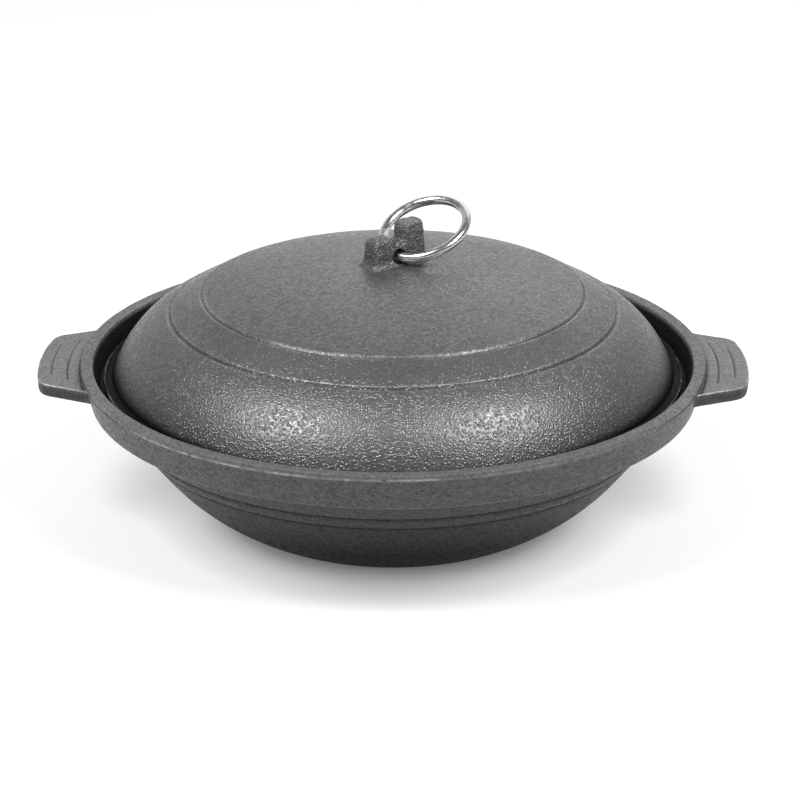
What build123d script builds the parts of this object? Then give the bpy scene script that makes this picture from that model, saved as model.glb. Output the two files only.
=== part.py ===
from build123d import *
import math
import os

# A lidded cast iron pot: a shallow bowl with a flared collar and two tab handles,
# a domed lid that sits on a ledge inside the collar, and a steel pull ring that is
# threaded through the lug cast on top of the lid.
# Sizes are in millimetres and degrees. The origin is the centre of the foot,
# +X runs through the handles and +Z is up.

# Bowl
POT_HEIGHT = 68.0
BOWL_RADIUS = 118.2  # outer radius of the bowl just under the collar
BOWL_WALL = 4.8
BOWL_FLARE = 56.8  # slope of the bowl's side under the collar
FOOT_SLOPE = 24.8  # slope of the bowl's side where it meets the flat foot
UPPER_CURVE = 310.0
UPPER_TURN = 6.2  # angle that the upper curve turns through
BEAD_DROP = 13.0  # distance of the bead below the collar, along the wall
BEAD_LENGTH = 8.0
BEAD_RISE = 0.35
BEAD_GROOVE_DEPTH = 0.7

# Collar
COLLAR_DEPTH = 15.3
COLLAR_STEP = 7.8  # how far the collar's lower edge stands out from the bowl
COLLAR_FLARE = 4.4  # how much wider the collar is at the rim
COLLAR_ROUND = 1.5
COLLAR_BEVEL = 0.8
RIM_LAND = 5.3  # width of the flat top of the rim
SEAT_DEPTH = 8.4  # depth of the lid's ledge under the rim
SEAT_TAPER = 3.1  # how much narrower the collar's inside is at the ledge

# Tab handles
HANDLE_REACH = 17.6  # how far a handle stands out from the rim
HANDLE_TIP_CURVE = 58.0
HANDLE_DROP = 3.2  # top of the tab under the rim
HANDLE_THICKNESS = 5.8
HANDLE_HALF_WIDTH = 35.0  # half width of the tab where it crosses the rim's edge
HANDLE_TAPER = 32.0  # angle of the tab's sides
HANDLE_CORNER = 8.0
HANDLE_WEB = 11.0  # fillet between the tab's sides and the collar
HANDLE_BEVEL = 1.2
STEP_HEIGHT = 0.5
STEP_REACHES = (11.3, 4.6)  # how far each step on the tab stands out from the rim
STEP_HALF_WIDTHS = (15.0, 24.0)
STEP_CORNER = 4.0

# Lid
LID_GAP = 1.5  # gap between the lid's flange and the collar at the ledge
LID_WALL = 4.5
LID_FLANGE_WIDTH = 3.6
LID_FLANGE_HEIGHT = 2.6
LID_FLANGE_BEVEL = 0.8
LID_RISE = 49.0  # from the ledge to the top of the dome
DOME_CURVE = 264.0
SHOULDER_WIDTH = 13.4
SHOULDER_SLOPE = 30.0
FLANK_WIDTH = 24.2  # from the outer groove out to the lid's skirt
FLANK_BULGE = 3.5
LID_GROOVE_WIDTH = 1.5
LID_GROOVE_DEPTH = 0.6

# Lug
LUG_DIRECTION = 37.0  # direction of the lug's length, from +X towards +Y
LOBE_LENGTH = 10.6
SHORT_LOBE_HEIGHT = 12.0
TALL_LOBE_HEIGHT = 17.2
LOBE_ROUND = 2.6
LOBE_SIDE_ROUND = 2.2
LUG_THICKNESS = 9.2
LUG_DRAFT = 4.0  # angle that each face of the lug leans in
WEB_LENGTH = 3.6  # gap between the lobes, bridged by the web
WEB_HEIGHT = 9.6
LUG_SINK = 1.5  # depth that the lug runs into the dome

# Pull ring
WIRE_RADIUS = 2.0
RING_RADIUS = 18.0  # to the middle of the wire
RING_PLAY = 1.2  # gap round the wire in the lug's hole
RING_LEAN = 25.5  # rise of the ring above level
RING_SKEW = 6.0  # turn of the ring across the hole
HOLE_FLOOR = 0.2  # metal under the hole

# Sizes that follow from the ones above
COLLAR_FOOT = POT_HEIGHT - COLLAR_DEPTH
COLLAR_FOOT_RADIUS = BOWL_RADIUS + COLLAR_STEP
RIM_RADIUS = COLLAR_FOOT_RADIUS + COLLAR_FLARE
SEAT_HEIGHT = POT_HEIGHT - SEAT_DEPTH
SEAT_RADIUS = RIM_RADIUS - RIM_LAND - SEAT_TAPER
LEDGE_RADIUS = BOWL_RADIUS - BOWL_WALL
HANDLE_TOP = POT_HEIGHT - HANDLE_DROP
HANDLE_TIP = RIM_RADIUS + HANDLE_REACH
LID_RADIUS = SEAT_RADIUS - LID_GAP
LID_SKIRT_RADIUS = LID_RADIUS - LID_FLANGE_WIDTH
LID_APEX = SEAT_HEIGHT + LID_RISE
DOME_RADIUS = LID_SKIRT_RADIUS - FLANK_WIDTH - SHOULDER_WIDTH
HOLE_RADIUS = WIRE_RADIUS + RING_PLAY
HOLE_HEIGHT = LID_APEX + HOLE_FLOOR + HOLE_RADIUS
LUG_AXIS = Vector(math.cos(math.radians(LUG_DIRECTION)), math.sin(math.radians(LUG_DIRECTION)), 0)
HOLE_AXIS = Vector(LUG_AXIS.Y, -LUG_AXIS.X, 0)


def half_plane(size):
    """Everything on the positive side of the axis of revolution."""
    return Pos(size / 2, 0) * Rectangle(size, 2 * size)


def revolved(section):
    """Turn a half section, drawn as radius and height, about the pot's axis."""
    return revolve(Plane.XZ * section, axis=Axis.Z)


def corner(section, x, y):
    """The corner of a section nearest to a point."""
    return section.vertices().sort_by_distance((x, y))[0]


def bowl_curve():
    """The two tangent arcs down the outside of the bowl, from the collar to the foot."""
    flare = math.radians(BOWL_FLARE)
    middle = math.radians(BOWL_FLARE - UPPER_TURN)
    foot = math.radians(FOOT_SLOPE)
    middle_height = COLLAR_FOOT - UPPER_CURVE * (math.cos(middle) - math.cos(flare))
    lower_curve = middle_height / (math.cos(foot) - math.cos(middle))
    heading = (-math.cos(flare), -math.sin(flare))
    upper = JernArc((BOWL_RADIUS, COLLAR_FOOT), heading, UPPER_CURVE, -UPPER_TURN)
    lower = JernArc(upper @ 1, upper % 1, lower_curve, FOOT_SLOPE + UPPER_TURN - BOWL_FLARE)
    return upper, lower


def bowl_solid_section(top):
    """Half section of the bowl's outside, filled in up to a height."""
    upper, lower = bowl_curve()
    foot = lower @ 1
    outline = [upper, lower]
    outline += Polyline(foot, (0, foot.Y), (0, top), (BOWL_RADIUS, top), upper @ 0).edges()
    return make_face(outline)


def bowl_cavity_section():
    """Half section of the bowl's inside, one wall in from the outside."""
    half = bowl_solid_section(SEAT_HEIGHT + BOWL_WALL)
    whole = half + mirror(half, about=Plane.YZ)
    inside = offset(whole, -BOWL_WALL, kind=Kind.INTERSECTION)
    return inside & half_plane(2 * RIM_RADIUS)


def collar_section():
    """Half section of the flared collar with the ledge that carries the lid."""
    inner = RIM_RADIUS - RIM_LAND
    section = make_face(Polyline(
        (LEDGE_RADIUS, COLLAR_FOOT), (COLLAR_FOOT_RADIUS, COLLAR_FOOT), (RIM_RADIUS, POT_HEIGHT),
        (inner, POT_HEIGHT), (SEAT_RADIUS, SEAT_HEIGHT), (LEDGE_RADIUS, SEAT_HEIGHT),
        close=True).edges())
    section = fillet(corner(section, RIM_RADIUS, POT_HEIGHT), COLLAR_ROUND)
    section = chamfer(corner(section, inner, POT_HEIGHT), COLLAR_BEVEL)
    return chamfer(corner(section, COLLAR_FOOT_RADIUS, COLLAR_FOOT), COLLAR_BEVEL)


def bowl_bead():
    """The low bead round the bowl and the groove that parts it from the wall above."""
    upper, lower = bowl_curve()
    start = upper @ (BEAD_DROP / upper.length)
    end = upper @ ((BEAD_DROP + BEAD_LENGTH) / upper.length)
    down = (end - start).normalized()
    out = Vector(-down.Y, down.X)
    lip = start + down * 2 * BEAD_GROOVE_DEPTH
    bead = make_face(Polyline(
        lip - out * BEAD_RISE, lip + out * BEAD_RISE, end, end - out * BEAD_RISE,
        close=True).edges())
    groove = make_face(Polyline(
        start + out * BEAD_RISE, start, (start + lip) / 2 - out * BEAD_GROOVE_DEPTH, lip,
        lip + out * BEAD_RISE, close=True).edges())
    return bead, groove


def bowl_section():
    """Half section of the bowl and collar as cast, without the handles."""
    bead, groove = bowl_bead()
    wall = bowl_solid_section(SEAT_HEIGHT) - bowl_cavity_section()
    return wall + collar_section() + bead - groove


def handle_outline():
    """Plan of one tab handle with the webs that run into the collar."""
    spread = math.tan(math.radians(HANDLE_TAPER))
    inner_x = RIM_RADIUS / 2
    outer_x = HANDLE_TIP + COLLAR_ROUND
    inner_half = HANDLE_HALF_WIDTH + (RIM_RADIUS - inner_x) * spread
    outer_half = HANDLE_HALF_WIDTH - (outer_x - RIM_RADIUS) * spread
    wedge = make_face(Polyline(
        (inner_x, -inner_half), (outer_x, -outer_half), (outer_x, outer_half),
        (inner_x, inner_half), close=True).edges())
    tab = wedge & (Pos(HANDLE_TIP - HANDLE_TIP_CURVE, 0) * Circle(HANDLE_TIP_CURVE))
    tab = fillet(tab.vertices().sort_by(Axis.X)[-2:], HANDLE_CORNER)
    middle_drop = HANDLE_DROP + HANDLE_THICKNESS / 2
    hub = Circle(RIM_RADIUS - COLLAR_FLARE * middle_drop / COLLAR_DEPTH)
    plan = tab + hub
    roots = [v for v in plan.vertices() if abs(v.Y) > HANDLE_HALF_WIDTH / 2]
    roots = sorted(roots, key=lambda v: abs(math.hypot(v.X, v.Y) - hub.radius))[:2]
    plan = fillet(roots, HANDLE_WEB)
    return plan & half_plane(2 * HANDLE_TIP)


def handle_steps():
    """The low arc-shaped steps that climb from the tab up to the rim."""
    steps = []
    base = HANDLE_TOP
    for reach, half_width in zip(STEP_REACHES, STEP_HALF_WIDTHS):
        width = Pos(RIM_RADIUS, 0) * Rectangle(RIM_RADIUS / 2, 2 * half_width)
        outline = Circle(RIM_RADIUS + reach) & width
        tips = outline.vertices().sort_by(Axis.X)[-2:]
        outline = fillet(tips, STEP_CORNER)
        steps.append(extrude(Pos(0, 0, base) * outline, STEP_HEIGHT))
        base += STEP_HEIGHT
    return steps


def handle():
    """One tab handle on the +X side, cut to start inside the collar's wall."""
    under = HANDLE_TOP - HANDLE_THICKNESS
    slab = extrude(Pos(0, 0, under) * handle_outline(), HANDLE_THICKNESS)
    edges = slab.edges().group_by(Axis.Z)[0]
    edges = [e for e in edges if math.hypot(e.center().X, e.center().Y) > RIM_RADIUS]
    slab = chamfer(edges, HANDLE_BEVEL)
    for step in handle_steps():
        slab = slab + step
    core = Cylinder(COLLAR_FOOT_RADIUS, 2 * POT_HEIGHT)
    return slab - core


def pot():
    """The bowl, its collar and both handles as one casting."""
    body = revolved(bowl_section())
    right = handle()
    left = Rot(0, 0, 180) * right
    return body + right + left


def lid_curve():
    """Dome, shoulder and flank of the lid's outside, from the axis out."""
    turn = math.degrees(math.asin(DOME_RADIUS / DOME_CURVE))
    dome = JernArc((0, LID_APEX), (1, 0), DOME_CURVE, -turn)
    edge = dome @ 1
    fall = SHOULDER_WIDTH * math.tan(math.radians(SHOULDER_SLOPE))
    shoulder = Line(edge, (edge.X + SHOULDER_WIDTH, edge.Y - fall))
    foot = (LID_SKIRT_RADIUS, SEAT_HEIGHT + LID_FLANGE_HEIGHT)
    flank = SagittaArc(shoulder @ 1, foot, FLANK_BULGE)
    return dome, shoulder, flank


def lid_filled_section(bottom):
    """Half section of the lid's outside, filled in down to a height."""
    dome, shoulder, flank = lid_curve()
    outline = [dome, shoulder, flank]
    outline += Polyline(flank @ 1, (LID_SKIRT_RADIUS, bottom), (0, bottom), dome @ 0).edges()
    return make_face(outline)


def lid_groove(place):
    """Half section of one V groove cut into the lid at a point of its outline."""
    half = LID_GROOVE_WIDTH / 2
    cut = make_face(Polyline(
        (-half, LID_GROOVE_DEPTH), (0, -LID_GROOVE_DEPTH), (half, LID_GROOVE_DEPTH),
        close=True).edges())
    return Pos(place.X, place.Y) * Rot(0, 0, -SHOULDER_SLOPE) * cut


def lid_section():
    """Half section of the lid: an even shell, its flange and the two grooves."""
    deep = lid_filled_section(SEAT_HEIGHT - LID_WALL)
    whole = deep + mirror(deep, about=Plane.YZ)
    hollow = offset(whole, -LID_WALL, kind=Kind.INTERSECTION) & half_plane(2 * RIM_RADIUS)
    flange_reach = LID_RADIUS - LEDGE_RADIUS
    middle = (LEDGE_RADIUS + flange_reach / 2, SEAT_HEIGHT + LID_FLANGE_HEIGHT / 2)
    flange = Pos(*middle) * Rectangle(flange_reach, LID_FLANGE_HEIGHT)
    flange = chamfer(flange.vertices().sort_by(Axis.X)[-2:], LID_FLANGE_BEVEL)
    dome, shoulder, flank = lid_curve()
    grooves = lid_groove(dome @ 1) + lid_groove(shoulder @ 1)
    return lid_filled_section(SEAT_HEIGHT) - hollow + flange - grooves


def lobe(height, outward):
    """One rounded lobe of the lug, with its faces leaning in towards the top."""
    lean = math.tan(math.radians(LUG_DRAFT))
    near = WEB_LENGTH / 2
    far = near + LOBE_LENGTH
    side = make_face(Polyline(
        (near, -LUG_SINK), (far + LUG_SINK * lean, -LUG_SINK), (far - height * lean, height),
        (near + height * lean / 2, height), close=True).edges())
    side = fillet(side.vertices().sort_by(Axis.Y)[-2:], LOBE_ROUND)
    if outward < 0:
        side = mirror(side, about=Plane.YZ)
    half = LUG_THICKNESS / 2
    end = make_face(Polyline(
        (-half - LUG_SINK * lean, -LUG_SINK), (half + LUG_SINK * lean, -LUG_SINK),
        (half - height * lean, height), (height * lean - half, height), close=True).edges())
    end = fillet(end.vertices().sort_by(Axis.Y)[-2:], LOBE_SIDE_ROUND)
    along = extrude(Plane.XZ * side, LUG_THICKNESS, both=True)
    across = extrude(Plane.YZ * end, 2 * (far + LUG_SINK), both=True)
    return along & across


def lug():
    """The lug: a short lobe, a tall lobe and the web between them over the ring's hole."""
    lean = math.tan(math.radians(LUG_DRAFT))
    half = LUG_THICKNESS / 2
    web_end = make_face(Polyline(
        (-half - LUG_SINK * lean, -LUG_SINK), (half + LUG_SINK * lean, -LUG_SINK),
        (half - WEB_HEIGHT * lean, WEB_HEIGHT), (WEB_HEIGHT * lean - half, WEB_HEIGHT),
        close=True).edges())
    web_end = fillet(web_end.vertices().sort_by(Axis.Y)[-2:], LOBE_SIDE_ROUND)
    web = extrude(Plane.YZ * web_end, WEB_LENGTH / 2 + LOBE_ROUND, both=True)
    body = web + lobe(TALL_LOBE_HEIGHT, 1) + lobe(SHORT_LOBE_HEIGHT, -1)
    hole = Rot(90, 0, 0) * Cylinder(HOLE_RADIUS, 2 * LUG_THICKNESS)
    body = body - Pos(0, 0, HOLE_HEIGHT - LID_APEX) * hole
    return Pos(0, 0, LID_APEX) * Rot(0, 0, LUG_DIRECTION) * body


def lid():
    """The domed lid and its lug as one casting."""
    return revolved(lid_section()) + lug()


def lid_ring():
    """The steel wire ring, leaning in the lug's hole."""
    lean = math.radians(RING_LEAN)
    skew = math.radians(RING_SKEW)
    outward = LUG_AXIS * math.cos(lean) + Vector(0, 0, math.sin(lean))
    tangent = HOLE_AXIS * math.cos(skew) + outward.cross(HOLE_AXIS) * math.sin(skew)
    centre = Vector(0, 0, HOLE_HEIGHT) + outward * RING_RADIUS
    place = Plane(origin=centre, x_dir=outward, z_dir=outward.cross(tangent))
    return place * Torus(RING_RADIUS, WIRE_RADIUS)


def main():
    """Build each piece and write it as its own file."""
    os.makedirs("parts", exist_ok=True)
    pieces = {"pot": pot(), "lid": lid(), "lid_ring": lid_ring()}
    for name, piece in pieces.items():
        export_step(piece, os.path.join("parts", name + ".step"))
        print(name, len(piece.solids()), round(piece.volume))


main()
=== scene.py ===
"""Looks for a lidded cast iron pot: sand-cast bowl and lid, pierced lug and polished pull ring."""
import logging
import math
from dataclasses import dataclass, field
from enum import Enum
from itertools import accumulate
from typing import Iterable, Mapping, Sequence

import bmesh
import bpy
import numpy as np
from mathutils import Matrix, Vector, noise


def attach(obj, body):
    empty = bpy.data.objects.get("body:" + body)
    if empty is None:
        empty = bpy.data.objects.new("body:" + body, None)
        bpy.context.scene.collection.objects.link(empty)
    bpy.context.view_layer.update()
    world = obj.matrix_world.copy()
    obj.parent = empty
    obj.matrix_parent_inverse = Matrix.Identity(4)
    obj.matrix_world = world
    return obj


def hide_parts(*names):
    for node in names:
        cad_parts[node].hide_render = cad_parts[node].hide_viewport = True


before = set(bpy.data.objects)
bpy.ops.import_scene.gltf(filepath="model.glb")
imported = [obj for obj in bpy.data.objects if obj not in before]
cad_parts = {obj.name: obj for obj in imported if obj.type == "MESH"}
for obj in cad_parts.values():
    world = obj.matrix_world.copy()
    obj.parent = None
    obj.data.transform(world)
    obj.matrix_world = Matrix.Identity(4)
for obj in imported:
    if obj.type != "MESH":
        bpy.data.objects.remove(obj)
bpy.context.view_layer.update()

MM = 0.001
TINY = 1e-9  # more than a rounding error and less than any size
LOG = logging.getLogger("pot")
Point2 = tuple[float, float]
Point3 = tuple[float, float, float]
Piece = bpy.types.Object
Material = bpy.types.Material
Socket = bpy.types.NodeSocket
Feeds = Mapping[int | str, object]


class Body(Enum):
    """The moving bodies that a piece can ride on."""

    POT = "pot"
    LID = "lid"
    RING = "ring"


class Skin(Enum):
    """How coarse the sand was that a surface was cast against."""

    PEBBLED = "pebbled"
    FINE = "fine"
    ROUGH = "rough"


@dataclass(frozen=True)
class Knot:
    """One corner of a half section, as radius and height in millimetres.

    Args:
        r: Distance from the pot's axis.
        z: Height above the foot.
        round: Radius that the corner is rounded to.
        wear_and_highlight: How far the rounded corner is lightened, as iron rubbed bare and as a painted
            highlight, from 0 to 1.
    """

    r: float
    z: float
    round: float = 0.0
    wear_and_highlight: float = 0.0


@dataclass(frozen=True)
class Relief:
    """A groove or bead that runs round a turned surface.

    Args:
        at: Distance along the outline to its middle, in millimetres.
        half: Half its width.
        height: Its height, below zero for a groove.
        wear_and_highlight: How far its lips are lightened, as iron rubbed bare and as a painted highlight.
    """

    at: float
    half: float
    height: float
    wear_and_highlight: float = 0.0

    def lift(self, along: float) -> float:
        """Height of the relief at a distance along the outline."""
        share = abs(along - self.at) / self.half
        return self.height * (0.5 + 0.5 * math.cos(math.pi * share)) if share < 1 else 0.0

    def rub(self, along: float) -> float:
        """Lightening of the lips at a distance along the outline: rubbed bare iron and painted highlight."""
        share = abs(abs(along - self.at) / self.half - 1.0)
        return self.wear_and_highlight * max(0.0, 1.0 - share / 0.45)


@dataclass
class HalfSection:
    """A half section that is turned about the pot's axis into a mesh.

    Args:
        knots: Its corners in order.
        step: Longest edge along the outline, in millimetres.
        corner_points: Edges that a quarter round is divided into.
    """

    knots: list[Knot]
    step: float = 1.6
    corner_points: int = 6
    points: list[Point3] = field(default_factory=list)

    def _corner(self, before: Knot, knot: Knot, after: Knot) -> list[Point3]:
        """The points that stand for one rounded corner.

        Args:
            before: The corner before this one.
            knot: The corner to round.
            after: The corner after this one.

        Returns:
            Points as radius, height and wear.
        """
        here = Vector((knot.r, knot.z))
        back = Vector((before.r, before.z)) - here
        on = Vector((after.r, after.z)) - here
        angle = back.angle(on)
        reach = min(knot.round / math.tan(angle / 2), back.length * 0.49, on.length * 0.49)
        radius = reach * math.tan(angle / 2)
        back.normalize()
        on.normalize()
        centre = here + (back + on).normalized() * (radius / math.sin(angle / 2))
        start = here + back * reach - centre
        turn = math.pi - angle
        sign = 1.0 if back.x * on.y - back.y * on.x < 0 else -1.0
        count = max(2, round(self.corner_points * turn / (math.pi / 2)))
        found = []
        for i in range(count + 1):
            a = sign * turn * i / count
            x = start.x * math.cos(a) - start.y * math.sin(a)
            y = start.x * math.sin(a) + start.y * math.cos(a)
            rub = knot.wear_and_highlight * math.sin(math.pi * i / count) ** 2 if 0 < i < count else 0.0
            found.append((centre.x + x, centre.y + y, rub))
        return found

    def trace(self) -> "HalfSection":
        """Round the corners and divide the long edges.

        Returns:
            This half section, with its points filled in.
        """
        rounded: list[Point3] = []
        for i, knot in enumerate(self.knots):
            if knot.round > 0 and 0 < i < len(self.knots) - 1:
                rounded += self._corner(self.knots[i - 1], knot, self.knots[i + 1])
            else:
                rounded.append((knot.r, knot.z, knot.wear_and_highlight))
        self.points = rounded[:1]
        for a, b in zip(rounded, rounded[1:]):
            length = math.hypot(b[0] - a[0], b[1] - a[1])
            count = max(1, math.ceil(length / self.step))
            for i in range(1, count + 1):
                t = i / count
                self.points.append(tuple(p + (q - p) * t for p, q in zip(a, b)))
        return self

    def lathe(self, name: str, segments: int) -> Piece:
        """Turn the points about the pot's axis.

        Args:
            name: Name of the new object.
            segments: Number of steps round the axis.

        Returns:
            The closed mesh object, with the lightening of its corners, rubbed bare and painted highlight,
            stored on its points.
        """
        mesh_points, wear_and_highlight, rows, faces = [], [], [], []
        for r, z, rub in self.points:
            count = 1 if r < TINY else segments
            first = len(mesh_points)
            for i in range(count):
                a = 2 * math.pi * i / segments
                mesh_points.append((r * MM * math.cos(a), r * MM * math.sin(a), z * MM))
                wear_and_highlight.append(rub)
            rows.append([first + i % count for i in range(segments)])
        for low, high in zip(rows, rows[1:]):
            for i in range(segments):
                j = (i + 1) % segments
                face = list(dict.fromkeys((low[i], low[j], high[j], high[i])))
                if len(face) > 2:
                    faces.append(face)
        made = new_mesh(name, mesh_points, faces)
        store_values(made, "wear_and_highlight", wear_and_highlight)
        return made


def linked(name: str, data: bpy.types.ID) -> Piece:
    """Make an object that holds some data, and link it to the scene.

    Args:
        name: Name of the object.
        data: Its mesh, light or camera.

    Returns:
        The object.
    """
    made = bpy.data.objects.new(name, data)
    bpy.context.scene.collection.objects.link(made)
    return made


def new_mesh(name: str, points: Sequence, faces: Sequence) -> Piece:
    """Make a closed mesh object with its faces turned outwards.

    Args:
        name: Name of the object.
        points: Its points, in metres.
        faces: Lists of point numbers.

    Returns:
        The object, linked to the scene.
    """
    mesh = bpy.data.meshes.new(name)
    mesh.from_pydata(points, [], faces)
    work = bmesh.new()
    work.from_mesh(mesh)
    bmesh.ops.recalc_face_normals(work, faces=work.faces)
    if work.calc_volume(signed=True) < 0:
        bmesh.ops.reverse_faces(work, faces=work.faces)
    work.to_mesh(mesh)
    work.free()
    return linked(name, mesh)


def tube_faces(layers: int, count: int, looped: bool = False) -> list[list[int]]:
    """The faces between rings of points that follow each other.

    Args:
        layers: Number of rings.
        count: Points in each ring.
        looped: Whether the last ring meets the first one; if not, both ends get a face.

    Returns:
        Lists of point numbers.
    """
    faces = []
    for layer in range(layers if looped else layers - 1):
        low, high = layer * count, (layer + 1) % layers * count
        for i in range(count):
            j = (i + 1) % count
            faces.append([low + i, low + j, high + j, high + i])
    if not looped:
        faces += [list(range(count)), list(range(high, high + count))]
    return faces


def store_values(piece: Piece, name: str, values: Iterable[float]) -> None:
    """Store one number for each point of a mesh under a name, for its material to read."""
    stored = piece.data.attributes.get(name) or piece.data.attributes.new(name, "FLOAT", "POINT")
    stored.data.foreach_set("value", np.array(list(values), np.float32))


def eased(share: float) -> float:
    """A share between 0 and 1 that starts and ends gently."""
    held = min(1.0, max(0.0, share))
    return held * held * (3 - 2 * held)


def bell(distance: float, width: float) -> float:
    """A smooth bump: 1 at no distance, and almost nothing at twice the width."""
    return math.exp(-(distance / width) ** 2)


def from_axis(place: Vector) -> float:
    """Distance of a place from the pot's axis, in millimetres."""
    return math.hypot(place.x, place.y) / MM


def way_at(points: Sequence[Point2], i: int) -> Vector:
    """Direction of a line of points at one of them, with a length of 1."""
    (x, y), (next_x, next_y) = points[max(0, i - 1)], points[min(len(points) - 1, i + 1)]
    return Vector((next_x - x, next_y - y)).normalized()


def distances(points: Sequence[Point2]) -> list[float]:
    """Distance along a line of points to each of them."""
    return [0.0, *accumulate(math.hypot(b[0] - a[0], b[1] - a[1]) for a, b in zip(points, points[1:]))]


def apply_modifiers(piece: Piece) -> None:
    """Bake an object's modifiers into its mesh.

    Args:
        piece: The mesh object.
    """
    graph = bpy.context.evaluated_depsgraph_get()
    mesh = bpy.data.meshes.new_from_object(piece.evaluated_get(graph))
    piece.modifiers.clear()
    old = piece.data
    piece.data = mesh
    bpy.data.meshes.remove(old)
    mesh.name = piece.name


def cast_ripple(piece: Piece, height: float, length: float, keep_below: float = -1.0) -> None:
    """Move a mesh's points a little in and out, as a sand mould does.

    Args:
        piece: The mesh object.
        height: Largest move, in millimetres.
        length: Length of one ripple, in millimetres.
        keep_below: Points under this height in millimetres stay, such as the foot.
    """
    mesh = piece.data
    normals = [Vector(v.normal) for v in mesh.vertices]
    for vertex, normal in zip(mesh.vertices, normals):
        if vertex.co.z < keep_below * MM:
            continue
        place = vertex.co / (length * MM)
        wave = noise.noise(place) + 0.5 * noise.noise(place * 2.3 + Vector((7.1, 3.3, 1.7)))
        vertex.co += normal * (wave * height * MM)


class Nodes:
    """A short way to write a material's node tree."""

    def __init__(self, name: str) -> None:
        """Start an empty material.

        Args:
            name: Name of the material.
        """
        self.material = bpy.data.materials.new(name)
        self.material.use_nodes = True
        self.tree = self.material.node_tree
        self.tree.nodes.clear()
        self.shader = self.add("ShaderNodeBsdfPrincipled", {})
        self.add("ShaderNodeOutputMaterial", {0: self.shader.outputs[0]})
        self.place = self.add("ShaderNodeTexCoord", {}).outputs["Object"]

    def add(self, kind: str, feeds: Feeds, **settings: object) -> bpy.types.Node:
        """Add a node, set its own settings and feed it.

        Args:
            kind: Blender's name for the node type.
            feeds: Sockets or plain values, by the name or number of the input.
            **settings: Properties of the node.

        Returns:
            The new node.
        """
        node = self.tree.nodes.new(kind)
        for key, value in settings.items():
            setattr(node, key, value)
        self.feed(node, feeds)
        return node

    def feed(self, node: bpy.types.Node, feeds: Feeds) -> None:
        """Link inputs to other sockets, or set their own values.

        Args:
            node: The node to feed.
            feeds: Sockets or plain values, by the name or number of the input.
        """
        for key, value in feeds.items():
            if isinstance(value, Socket):
                self.tree.links.new(value, node.inputs[key])
            else:
                node.inputs[key].default_value = value

    def finish(self, feeds: Feeds) -> Material:
        """Feed the shader and hand over the material."""
        self.feed(self.shader, feeds)
        return self.material

    def noise(self, size: float, detail: float = 2.0, rough: float = 0.5) -> Socket:
        """Cloudy noise around 0.5, with patches of about a size in millimetres."""
        feeds = {"Vector": self.place, "Scale": 1.0 / (size * MM), "Detail": detail, "Roughness": rough}
        return self.add("ShaderNodeTexNoise", feeds).outputs["Fac"]

    def cells(self, size: float) -> tuple[Socket, Socket]:
        """Distance from the middle of grains that stand a size apart, and the colour of each grain."""
        feeds = {"Vector": self.place, "Scale": 1.0 / (size * MM)}
        grains = self.add("ShaderNodeTexVoronoi", feeds, feature="F1")
        return grains.outputs["Distance"], grains.outputs["Color"]

    def math(self, operation: str, *numbers: object) -> Socket:
        """One sum on numbers or sockets, by Blender's name for the operation."""
        return self.add("ShaderNodeMath", dict(enumerate(numbers)), operation=operation).outputs[0]

    def times(self, a: object, b: object) -> Socket:
        """Two numbers or sockets multiplied."""
        return self.math("MULTIPLY", a, b)

    def less(self, value: object) -> Socket:
        """What is left of 1 when a number or socket is taken from it."""
        return self.math("SUBTRACT", 1.0, value)

    def span(self, value: Socket, low: float, high: float, to_low: float = 0, to_high: float = 1) -> Socket:
        """Map the range from low to high to another one, smoothly and with its ends held."""
        feeds = dict(enumerate((value, low, high, to_low, to_high)))
        return self.add("ShaderNodeMapRange", feeds, interpolation_type="SMOOTHSTEP").outputs[0]

    def blend(self, share: object, a: object, b: object) -> Socket:
        """Mix two colours or sockets, by a share of the second."""
        return self.add("ShaderNodeMix", {0: share, 6: a, 7: b}, data_type="RGBA").outputs[2]

    def stored(self, name: str) -> Socket:
        """The numbers that a mesh holds under a name."""
        return self.add("ShaderNodeAttribute", {}, attribute_name=name).outputs["Fac"]

    def bump(self, height: object, depth: float, **normal: object) -> Socket:
        """Bumps of a real depth in millimetres, on a normal if one is given."""
        feeds = {"Strength": 1.0, "Distance": depth * MM, "Height": height, **normal}
        return self.add("ShaderNodeBump", feeds).outputs["Normal"]


def grey(value: float, warmth: float = 0.0) -> tuple[float, float, float, float]:
    """A grey with a slight warm or cold tint."""
    return (value * (1 + warmth), value, value * (1 - warmth), 1.0)


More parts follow.
